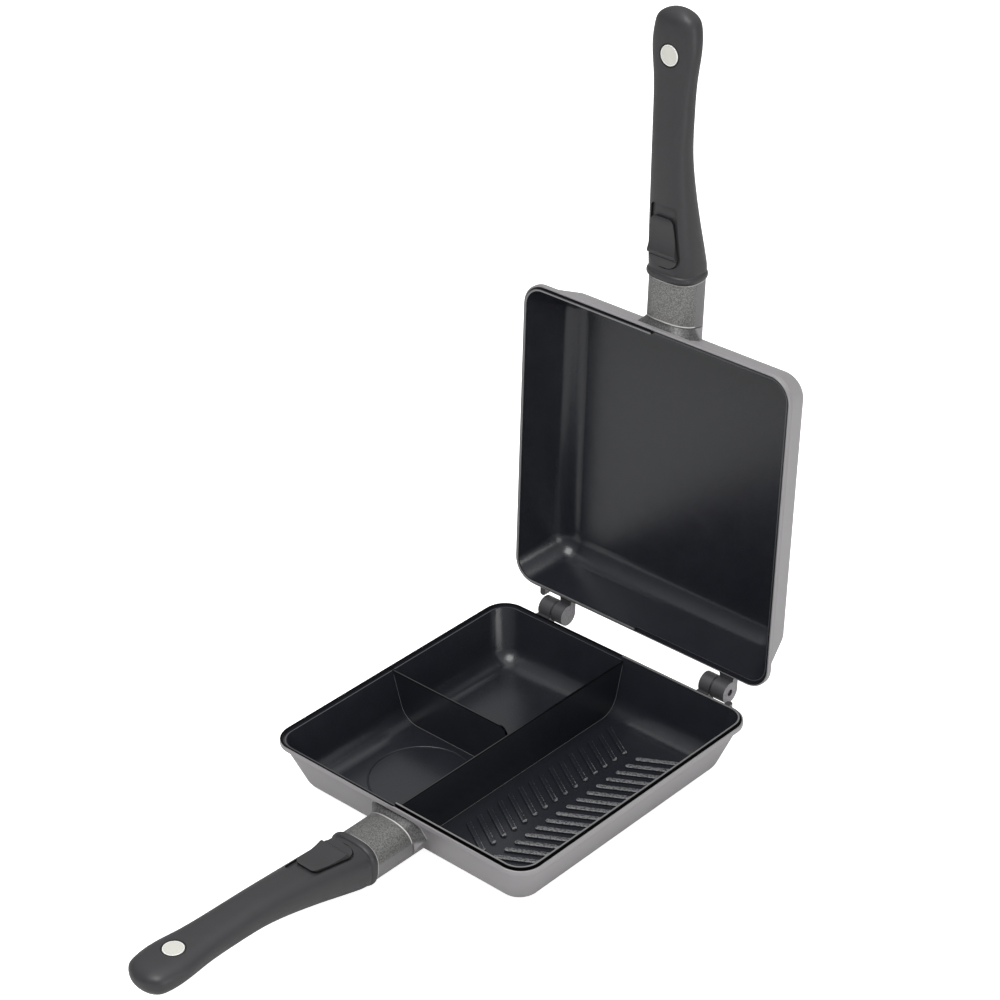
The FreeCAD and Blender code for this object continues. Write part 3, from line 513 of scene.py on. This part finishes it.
def build_rim_lines():
    """Masks of the mating rim: painted highlights on the edges of lip and ledge, and painted shade
    on the land outside the lip.
    """
    group, start, end = new_group(
        "rim_lines",
        [("Inset", "value", 0), ("Height", "value", 0)],
        [("Lines", "value"), ("Land", "value")])
    inset, height = start.outputs["Inset"], start.outputs["Height"]
    lip_edge, hollow_edge = LIP_INSET + EDGE_MARGIN, HOLLOW_INSET + EDGE_MARGIN
    # Painted highlight on the lip's inner edge, and fainter on the ledge's step
    lip = product(
        group, between(group, inset, lip_edge, hollow_edge), ramp(group, height, *LIP_HEIGHT))
    step = product(
        group, between(group, inset, HOLLOW_INSET - STEP_SOFTNESS, hollow_edge),
        between(group, height, *STEP_HEIGHT, STEP_SOFTNESS), 0.35)
    feed(group, calc(group, "ADD", lip, step), end.inputs["Lines"])
    # Painted shade on the land between the rim's edge and the lip
    land = product(
        group, ramp(group, height, *LAND_HEIGHT),
        between(group, inset, EDGE_MARGIN, lip_edge))
    feed(group, land, end.inputs["Land"])


def build_grill():
    """Masks of the herringbone ribs: tops, right row, painted highlight lines along the long edges
    and at the inner ends, dimmed towards the outer ends as painted shade, and crown across a rib.
    """
    group, start, end = new_group(
        "grill_ribs", PLACE_INPUTS,
        [("Tops", "value"), ("Right", "value"), ("Crest", "value"), ("Crown", "value")])
    across = start.outputs["Across"]
    run = calc(group, "MAXIMUM", calc(group, "SUBTRACT", across, RIB_RIGHT_X),
               calc(group, "SUBTRACT", RIB_LEFT_X, across))
    from_first = calc(group, "SUBTRACT", start.outputs["Along"], RIB_FIRST_Y)
    side = calc(group, "SUBTRACT", calc(group, "MULTIPLY", from_first, math.cos(RIB_ANGLE)),
                calc(group, "MULTIPLY", run, math.sin(RIB_ANGLE)))
    half_pitch = RIB_PITCH * math.cos(RIB_ANGLE) / 2
    rows = between(group, side, -half_pitch, (2 * RIB_PAIRS - 1) * half_pitch)
    field = product(group, rows, between(group, across, RIB_OUTER_LEFT_X, RIB_OUTER_RIGHT_X))
    side = calc(group, "WRAP", side, half_pitch, -half_pitch)
    high = between(
        group, start.outputs["Height"], RIB_HEIGHT / 2 - FLOOR_DEPTH,
        RIB_HEIGHT * 1.3 - FLOOR_DEPTH)
    high = product(group, high, field)
    tops = product(group, ramp(group, start.outputs["Facing"], *RIB_TOP_FACING), high)
    feed(group, tops, end.inputs["Tops"])
    feed(group, ramp(group, across, RIB_LEFT_X, RIB_RIGHT_X), end.inputs["Right"])
    edge = RIB_WIDTH / 2 - RIB_EDGE_INSET
    back = between(group, side, edge, edge + RIB_EDGE_WIDTH)
    front = between(group, calc(group, "MULTIPLY", side, -1), edge, edge + RIB_EDGE_WIDTH)
    # Painted highlight along a rib's long edges, dimmed towards its outer end as painted shade, and
    # brightest at its inner end
    crest = calc(group, "ADD", back, calc(group, "MULTIPLY", front, 0.4))
    crest = product(group, crest, ramp(group, run, *RIB_FADE, 0.5, 0.1))
    crest = calc(group, "MAXIMUM", crest, ramp(group, run, *RIB_END, 1.6, 0.0))
    feed(group, product(group, high, crest), end.inputs["Crest"])
    share = calc(group, "POWER", calc(group, "DIVIDE", side, RIB_WIDTH / 2), 2.0)
    crown = calc(group, "SUBTRACT", 1.0, calc(group, "MINIMUM", share, 1.0))
    feed(group, product(group, tops, crown), end.inputs["Crown"])


def build_divider_lines():
    """Masks of the dividers: painted highlight lines on tops and at feet, painted shade on the tops
    and at the cross divider's end.
    """
    group, start, end = new_group(
        "divider_lines", PLACE_INPUTS, [("Lines", "value"), ("Tops", "value")])
    across, height, facing = [start.outputs[name] for name in ("Across", "Height", "Facing")]
    below_top = calc(group, "MULTIPLY", calc(group, "ADD", height, DIVIDER_DROP), -1)
    share = calc(group, "DIVIDE", below_top, FLOOR_DEPTH - DIVIDER_DROP)
    taper = calc(group, "MULTIPLY", share, (DIVIDER_FOOT - DIVIDER_TOP) / 2)
    half = calc(group, "ADD", DIVIDER_TOP / 2, taper)
    from_cross = calc(group, "SUBTRACT", start.outputs["Along"], CROSS_DIVIDER_Y)
    from_cross = calc(group, "ABSOLUTE", from_cross)
    from_long = calc(group, "ABSOLUTE", calc(group, "SUBTRACT", across, LONG_DIVIDER_X))
    cross_foot, long_foot = [
        between(group, calc(group, "SUBTRACT", away, half), *FOOT_LINE_REACH, FOOT_LINE_SOFTNESS)
        for away in (from_cross, from_long)]
    left = ramp(group, across, LONG_DIVIDER_X, LONG_DIVIDER_X - 0.001)
    both = calc(
        group, "MAXIMUM", product(group, cross_foot, left), product(group, long_foot, 0.7))
    feet = product(group, both, ramp(group, height, *FOOT_LINE_HEIGHT),
                   ramp(group, facing, *FOOT_LINE_FACING))
    top = between(group, height, *TOP_HEIGHT)
    right = calc(group, "SUBTRACT", 1.0, left)
    near = calc(group, "MINIMUM", calc(group, "ADD", from_cross, right), from_long)
    line = product(group, top, ramp(group, near, *TOP_LINE_REACH, 1.0, 0.0))
    feed(group, calc(group, "MAXIMUM", feet, line), end.inputs["Lines"])
    tops = product(group, top, ramp(group, near, *TOP_REACH, 1.0, 0.0))
    nose = product(
        group, ramp(group, from_cross, *NOSE_REACH, 1.0, 0.0), left,
        ramp(group, across, *NOSE_X), ramp(group, height, *NOSE_HEIGHT),
        ramp(group, facing, *NOSE_FACING))
    feed(group, calc(group, "MAXIMUM", tops, nose), end.inputs["Tops"])


# Finishes
def coat_ribs_and_dividers(tree, place, point, inside, colour, relief, rough, metal):
    """Adds the lower pan's ribs and dividers to its colour, relief, roughness and metal."""
    look = bpy.context.scene.flip_pan_casting
    grill = use_group(tree, "grill_ribs", **place)
    tops, right = grill.outputs["Tops"], grill.outputs["Right"]
    # Painted highlight: lighter grainy tops on the right row, light edge lines on the left row
    sparkle = ramp(tree, noise(tree, point, RIB_GRAIN, 1.0), 0.42, 0.58, 0.1, 1.7)
    rows = mix_number(tree, right, grill.outputs["Crest"], tops)
    share = calc(tree, "MULTIPLY", rows, sparkle, clamp=True)
    colour = mix_colour(tree, share, colour, rgba(look.rib_highlight_colour))
    lift = mix_number(tree, right, 0.0001, 0.0004)
    relief = calc(tree, "ADD", relief, product(tree, grill.outputs["Crown"], lift))
    rough = calc(tree, "ADD", rough, product(tree, tops, right, 0.1))
    edges = use_group(tree, "divider_lines", **place)
    # Painted shade: black metal that reflects nothing on the divider tops and at the cross
    # divider's end
    dark = product(tree, edges.outputs["Tops"], inside)
    colour = mix_colour(tree, dark, colour, rgba(PAINTED_SHADE_BLACK))
    metal = calc(tree, "MAXIMUM", metal, dark)
    # Painted highlight: light lines along the divider tops and feet
    lines = product(tree, edges.outputs["Lines"], inside, 0.8)
    colour = mix_colour(tree, lines, colour, rgba(look.edge_highlight_colour))
    return colour, relief, rough, metal


def neck_mask(tree, place, tray):
    """Mask of the neck that carries a handle, outside the pan's wall."""
    height = place["Height"]
    return product(
        tree, ramp(tree, calc(tree, "ABSOLUTE", place["Across"]), *NECK_SIDE, 1.0, 0.0),
        ramp(tree, place["Along"], *NECK_Y), ramp(tree, height, *NECK_TOP),
        ramp(tree, tray.outputs["Beyond"], *NECK_CLEARANCE), ramp(tree, height, *NECK_FOOT),
        calc(tree, "SUBTRACT", 1.0, tray.outputs["Inside"]))


def casting_finish(side):
    """Satin paint outside, dark smooth coating inside, grainy neck and coated hinge barrels."""
    look = bpy.context.scene.flip_pan_casting
    material, tree, shader = new_material(side + "_casting")
    part = place_on(tree, side)
    place = {title: part.outputs[title] for title in PLACE}
    across = place["Across"]
    bare_land = BARE_LAND_UPPER
    if side == "lower":
        bare_land = mix_number(
            tree, ramp(tree, across, 0.0, 0.002), BARE_LAND_LEFT, BARE_LAND_RIGHT)
    tray = use_group(tree, "cooking_side", Bare_land=bare_land, **place)
    inside = tray.outputs["Inside"]
    rim = use_group(tree, "rim_lines", Inset=tray.outputs["Inset"], Height=place["Height"])
    grain = use_group(tree, "sprayed_grain", Point=part.outputs["Point"], Size=look.grain_size)
    tone, pimples = grain.outputs["Tone"], grain.outputs["Height"]

    paint = shaded(tree, tone, look.outside_colour, 0.96, 1.03)
    coat = shaded(tree, tone, look.inside_colour, 0.85, 1.15)
    colour = mix_colour(tree, inside, paint, coat)
    relief = calc(tree, "MULTIPLY", pimples, 0.00003)
    rough = mix_number(tree, inside, look.outside_roughness, look.inside_roughness)
    metal = mix_number(tree, inside, PAINT_METAL, 0.0)
    if side == "lower":
        colour, relief, rough, metal = coat_ribs_and_dividers(
            tree, place, part.outputs["Point"], inside, colour, relief, rough, metal)
    # Painted shade on the land outside the lip: black metal that reflects nothing
    land = product(tree, rim.outputs["Land"], inside, LAND_SHADE_SHARE[side])
    colour = mix_colour(tree, land, colour, rgba(PAINTED_SHADE_BLACK))
    metal = mix_number(tree, land, metal, 1.0)
    rough = mix_number(tree, land, rough, LAND_ROUGHNESS)
    # Painted highlight on the edges of lip and ledge
    colour = mix_colour(tree, rim.outputs["Lines"], colour, rgba(look.edge_highlight_colour))

    neck = shaded(tree, ramp(tree, pimples, 0.35, 0.65), look.neck_colour, 0.5, 1.0)
    colour = mix_colour(tree, neck_mask(tree, place, tray), colour, neck)

    hinge = ramp(tree, place["Along"], *HINGE_START)
    split = calc(tree, "SUBTRACT", calc(tree, "ABSOLUTE", across), KNUCKLE_SPLIT_X)
    # Painted shade: black band where the barrels of the two pans meet
    gap = between(tree, split, -KNUCKLE_GAP, KNUCKLE_GAP, KNUCKLE_SOFTNESS)
    barrel = mix_colour(tree, gap, rgba(look.knuckle_colour), rgba(BARREL_GAP_SHADE))
    colour = mix_colour(tree, hinge, colour, barrel)
    metal = mix_number(tree, hinge, metal, 0.0)
    end_mask = product(tree, hinge, ramp(tree, part.outputs["Sideways"], *BARREL_END_SIDEWAYS))
    end_face = shaded(tree, ramp(tree, pimples, 0.3, 0.7), look.machined_colour, 0.7, 1.0)
    colour = mix_colour(tree, end_mask, colour, end_face)

    feed(tree, colour, shader.inputs["Base Color"])
    feed(tree, metal, shader.inputs["Metallic"])
    drift = ramp(tree, tone, 0.3, 0.7, -0.015, 0.015)
    feed(tree, calc(tree, "ADD", rough, drift), shader.inputs["Roughness"])
    bump(tree, relief, shader, 1.0)
    return material


def ferrule_finish(side):
    """Speckled metal on the mating side, smoother paint on the outer side, worn at its ends; the
    worn front rim also gets a painted highlight, brighter towards the right-hand end.
    """
    look = bpy.context.scene.flip_pan_handle
    material, tree, shader = new_material(side + "_ferrule")
    place = place_on(tree, side)
    along, height, point = [place.outputs[name] for name in ("Along", "Height", "Point")]
    coarse = noise(tree, point, look.speckle_size, 2.0, 0.65)
    fine = noise(tree, point, look.speckle_size * 0.45, 1.0, 0.5)
    speckle = calc(tree, "ADD", product(tree, coarse, 0.65), product(tree, fine, 0.35))
    mating = ramp(tree, height, *FERRULE_MATING)
    # Painted light: the upper ferrule's colour is lightened
    base = Vector(look.ferrule_colour) * FERRULE_PAINTED_LIGHT[side]
    light = shaded(tree, ramp(tree, speckle, 0.40, 0.62), base, 0.64, 1.42)
    paint = scaled(bpy.context.scene.flip_pan_casting.outside_colour, 0.62)
    colour = mix_colour(tree, mating, paint, light)
    lean = calc(tree, "MULTIPLY", calc(tree, "ADD", height, FERRULE_RISE), -JOINT_LEAN)
    front = ramp(tree, calc(tree, "SUBTRACT", along, lean), *FERRULE_FRONT)
    rear = ramp(tree, along, *FERRULE_REAR, 1.0, 0.0)
    # Painted highlight: the worn front rim grows brighter towards the right-hand end, the same way
    # on both handles
    turn = 1 if side == "lower" else -1
    left, right = [x * turn for x in FERRULE_LIT_END_X]
    lit_end = ramp(tree, place.outputs["Across"], left, right, 0.35, 1.0)
    worn_and_lit = calc(tree, "MAXIMUM", product(tree, front, mating, lit_end), product(tree, rear, 0.4))
    colour = mix_colour(tree, worn_and_lit, colour, rgba(WORN_AND_LIT_METAL))
    feed(tree, colour, shader.inputs["Base Color"])
    shader.inputs["Metallic"].default_value = FERRULE_METAL
    feed(tree, ramp(tree, speckle, 0.35, 0.65, 0.52, 0.38), shader.inputs["Roughness"])
    bump(tree, speckle, shader, 0.00025, 0.8)
    return material


def moulded_finish(name, colour, roughness, side, is_grip=False):
    """Matt moulded plastic with painted shade on steep faces: all over a slider, on a grip only in
    its recess, plus a painted shadow round its magnet pocket.
    """
    material, tree, shader = new_material(name)
    place = place_on(tree, side)
    across, along, facing = [place.outputs[title] for title in ("Across", "Along", "Facing")]
    grain = use_group(tree, "sprayed_grain", Point=place.outputs["Point"], Size=MOULD_GRAIN)
    colour = shaded(tree, grain.outputs["Tone"], colour, 0.88, 1.12)
    # Painted shade on steep faces, on a grip only on the walls of its recess
    steep = ramp(tree, calc(tree, "ABSOLUTE", facing), *STEEP_FACING, 1.0, 0.0)
    if is_grip:
        steep = product(
            tree, steep, ramp(tree, calc(tree, "ABSOLUTE", across), *RECESS_SIDE, 1.0, 0.0),
            between(tree, along, RECESS_Y - RECESS_LENGTH - EDGE_MARGIN, RECESS_Y + EDGE_MARGIN))
    colour = mix_colour(tree, product(tree, steep, 0.8), colour, rgba(RECESS_SHADE_BLACK))
    if is_grip:
        # Painted shadow: black ring on the grip round the magnet cup, where the gap shades it
        from_magnet = calc(tree, "SUBTRACT", along, MAGNET_Y)
        squares = [calc(tree, "POWER", value, 2.0) for value in (across, from_magnet)]
        away = calc(tree, "SQRT", calc(tree, "ADD", *squares))
        pocket = product(
            tree, ramp(tree, away, *POCKET_RING, 1.0, 0.0), ramp(tree, facing, *POCKET_FACING))
        colour = mix_colour(tree, pocket, colour, rgba(POCKET_SHADOW_BLACK))
    feed(tree, colour, shader.inputs["Base Color"])
    shader.inputs["Specular IOR Level"].default_value = PLASTIC_SPECULAR
    uneven_roughness(tree, grain.outputs["Tone"], roughness, 0.04, shader)
    bump(tree, grain.outputs["Height"], shader, 0.00003, 0.6)
    return material


def steel_finish(name, colour, roughness, side, metal=1.0):
    """Drawn or turned steel with faint tone changes."""
    material, tree, shader = new_material(name)
    place = place_on(tree, side)
    grain = use_group(tree, "sprayed_grain", Point=place.outputs["Point"], Size=STEEL_GRAIN)
    tone = shaded(tree, grain.outputs["Height"], colour, 0.85, 1.1)
    feed(tree, tone, shader.inputs["Base Color"])
    shader.inputs["Metallic"].default_value = metal
    uneven_roughness(tree, grain.outputs["Tone"], roughness, 0.05, shader)
    bump(tree, grain.outputs["Height"], shader, 0.00001, 0.5)
    return material


# Operators
class FLIPPAN_OT_effects(bpy.types.Operator):
    """Builds the shader effects that the finishes share"""
    bl_idname = "flippan.effects"
    bl_label = "Shared effects"

    def execute(self, context):
        build_part_place()
        build_grain()
        build_tray_side()
        build_rim_lines()
        build_grill()
        build_divider_lines()
        return {"FINISHED"}


class FLIPPAN_OT_castings(bpy.types.Operator):
    """Coats both cast pans: grey paint outside, dark coating inside"""
    bl_idname = "flippan.castings"
    bl_label = "Castings"

    def execute(self, context):
        for side in SIDES:
            dress(side + "_pan", casting_finish(side))
        return {"FINISHED"}


class FLIPPAN_OT_hinge(bpy.types.Operator):
    """Finishes the two hinge pins"""
    bl_idname = "flippan.hinge"
    bl_label = "Hinge pins"

    def execute(self, context):
        pin = steel_finish("hinge_pin_steel", PIN_STEEL, STEEL_ROUGHNESS, "lower")
        for name in ("hinge_pin_left", "hinge_pin_right"):
            dress(name, pin)
        return {"FINISHED"}


class FLIPPAN_OT_ferrules(bpy.types.Operator):
    """Finishes the metal sleeves between the pans and the grips"""
    bl_idname = "flippan.ferrules"
    bl_label = "Ferrules"

    def execute(self, context):
        for side in SIDES:
            dress(side + "_ferrule", ferrule_finish(side))
        return {"FINISHED"}


class FLIPPAN_OT_grips(bpy.types.Operator):
    """Finishes the moulded grips and their thumb sliders"""
    bl_idname = "flippan.grips"
    bl_label = "Grips and sliders"

    def execute(self, context):
        look = context.scene.flip_pan_handle
        for side in SIDES:
            grip = moulded_finish(
                side + "_grip_plastic", look.grip_colour, GRIP_ROUGHNESS, side, is_grip=True)
            dress(side + "_grip", grip)
            slider = moulded_finish(
                side + "_slider_plastic", look.slider_colour, SLIDER_ROUGHNESS, side)
            dress(side + "_slider", slider)
        return {"FINISHED"}


class FLIPPAN_OT_fittings(bpy.types.Operator):
    """Finishes magnets, cups, screws, latches, springs and tongue guides"""
    bl_idname = "flippan.fittings"
    bl_label = "Small metal fittings"

    def execute(self, context):
        look = context.scene.flip_pan_handle
        for side in SIDES:
            magnet = steel_finish(
                side + "_magnet_plating", look.magnet_colour, MAGNET_ROUGHNESS, side, PLATING_METAL)
            dress(side + "_magnet", magnet)
            cup = steel_finish(side + "_cup_steel", CUP_STEEL, CUP_ROUGHNESS, side, PLATING_METAL)
            dress(side + "_magnet_cup", cup)
            inner = steel_finish(side + "_fitting_steel", FITTING_STEEL, STEEL_ROUGHNESS, side)
            for name in ("tongue_guide", "latch", "latch_spring", "fixing_screw"):
                dress(side + "_" + name, inner)
        return {"FINISHED"}


class FLIPPAN_OT_stage(bpy.types.Operator):
    """Sets up the floor, the soft studio light and the camera"""
    bl_idname = "flippan.stage"
    bl_label = "Stage"

    def execute(self, context):
        look = context.scene.flip_pan_stage
        lay_floor(look)
        light_studio(look)
        set_camera(look)
        return {"FINISHED"}


def lay_floor(look):
    """Wide plain floor just under the pan's base."""
    half = FLOOR_HALF_WIDTH
    corners = [(-half, -half, 0), (half, -half, 0), (half, half, 0), (-half, half, 0)]
    mesh = bpy.data.meshes.new("studio_floor")
    mesh.from_pydata(corners, [], [(0, 1, 2, 3)])
    floor = bpy.data.objects.new("studio_floor", mesh)
    floor.location.z = -FLOOR_DROP
    bpy.context.scene.collection.objects.link(floor)
    material, tree, shader = new_material("floor_paint")
    tone = noise(tree, put(tree, "ShaderNodeTexCoord").outputs["Object"], FLOOR_TONE_SIZE)
    feed(tree, shaded(tree, tone, look.floor_colour, 0.99, 1.0), shader.inputs["Base Color"])
    shader.inputs["Roughness"].default_value = FLOOR_ROUGHNESS
    seen = put(tree, "ShaderNodeLightPath").outputs["Is Camera Ray"]
    feed(tree, mix_colour(tree, seen, BLACK, WHITE), shader.inputs["Emission Color"])
    shader.inputs["Emission Strength"].default_value = FLOOR_GLOW * look.light_strength
    mesh.materials.append(material)


def soft_light(name, place, size, power):
    """Large soft box that points at the pan."""
    data = bpy.data.lights.new(name, "AREA")
    data.shape = "RECTANGLE"
    data.size = size
    data.size_y = size
    data.energy = power
    lamp = bpy.data.objects.new(name, data)
    lamp.location = place
    lamp.rotation_euler = (LIGHT_TARGET - Vector(place)).to_track_quat("-Z", "Y").to_euler()
    bpy.context.scene.collection.objects.link(lamp)


def light_studio(look):
    """White air that is dimmer low down, in front and on the left, and three soft boxes."""
    strength = look.light_strength
    world = bpy.data.worlds.new("studio_air")
    bpy.context.scene.world = world
    world.use_nodes = True
    tree = world.node_tree
    air = tree.nodes["Background"]
    air.inputs["Color"].default_value = WHITE
    where = put(tree, "ShaderNodeSeparateXYZ")
    tree.links.new(put(tree, "ShaderNodeTexCoord").outputs["Generated"], where.inputs[0])
    low, high = AIR_LOW * strength, AIR_HIGH * strength
    sky = ramp(tree, where.outputs[2], 0.0, 1.0, low, high, smooth=False)
    front = ramp(tree, where.outputs[1], -1.0, 0.2, 0.55, 1.0, smooth=False)
    side = ramp(tree, where.outputs[0], -1.0, 0.4, 0.6, 1.0, smooth=False)
    glow = product(tree, sky, front, side)
    seen = put(tree, "ShaderNodeLightPath").outputs["Is Camera Ray"]
    feed(tree, mix_number(tree, seen, glow, AIR_SEEN * strength), air.inputs["Strength"])
    for name, place, size, watts in SOFT_BOXES:
        soft_light(name, place, size, watts * strength)
    bpy.context.scene.view_settings.view_transform = "Standard"


def set_camera(look):
    """Camera that stands where the photo was taken from."""
    data = bpy.data.cameras.new("photo_camera")
    data.sensor_width = SENSOR_WIDTH
    data.lens = look.camera_lens
    camera = bpy.data.objects.new("photo_camera", data)
    azimuth, elevation, roll = look.camera_azimuth, look.camera_elevation, look.camera_roll
    away = Vector((
        math.sin(azimuth) * math.cos(elevation), -math.cos(azimuth) * math.cos(elevation),
        math.sin(elevation)))
    level = Vector((math.cos(azimuth), math.sin(azimuth), 0))
    up = away.cross(level)
    right = level * math.cos(roll) - up * math.sin(roll)
    up = up * math.cos(roll) + level * math.sin(roll)
    turn = Matrix((right, up, away)).transposed().to_4x4()
    camera.matrix_world = Matrix.Translation(look.camera_place) @ turn
    bpy.context.scene.collection.objects.link(camera)
    bpy.context.scene.camera = camera


class FLIPPAN_PT_panel(bpy.types.Panel):
    """Lists the flip pan's steps and settings"""
    bl_idname = "FLIPPAN_PT_panel"
    bl_label = "Flip Pan"
    bl_space_type = "VIEW_3D"
    bl_region_type = "UI"
    bl_category = "Flip Pan"

    def draw(self, context):
        layout = self.layout
        for title, group in GROUPS:
            box = layout.box()
            box.label(text=title)
            settings = getattr(context.scene, group)
            for name in settings.__annotations__:
                box.prop(settings, name)
        for operator in STEPS:
            layout.operator(operator.bl_idname)


GROUPS = (
    ("Castings", "flip_pan_casting"),
    ("Handles", "flip_pan_handle"),
    ("Stage", "flip_pan_stage"),
)
SETTINGS = (FlipPanCasting, FlipPanHandle, FlipPanStage)
STEPS = (
    FLIPPAN_OT_effects,
    FLIPPAN_OT_castings,
    FLIPPAN_OT_hinge,
    FLIPPAN_OT_ferrules,
    FLIPPAN_OT_grips,
    FLIPPAN_OT_fittings,
    FLIPPAN_OT_stage,
)
CLASSES = SETTINGS + STEPS + (FLIPPAN_PT_panel,)


def register():
    for item in CLASSES:
        bpy.utils.register_class(item)
    for (title, name), settings in zip(GROUPS, SETTINGS):
        setattr(bpy.types.Scene, name, PointerProperty(type=settings))


def unregister():
    for title, name in GROUPS:
        delattr(bpy.types.Scene, name)
    for item in reversed(CLASSES):
        bpy.utils.unregister_class(item)


def main():
    register()
    for step in STEPS:
        group, name = step.bl_idname.split(".")
        getattr(getattr(bpy.ops, group), name)()


if __name__ == "__main__":
    main()
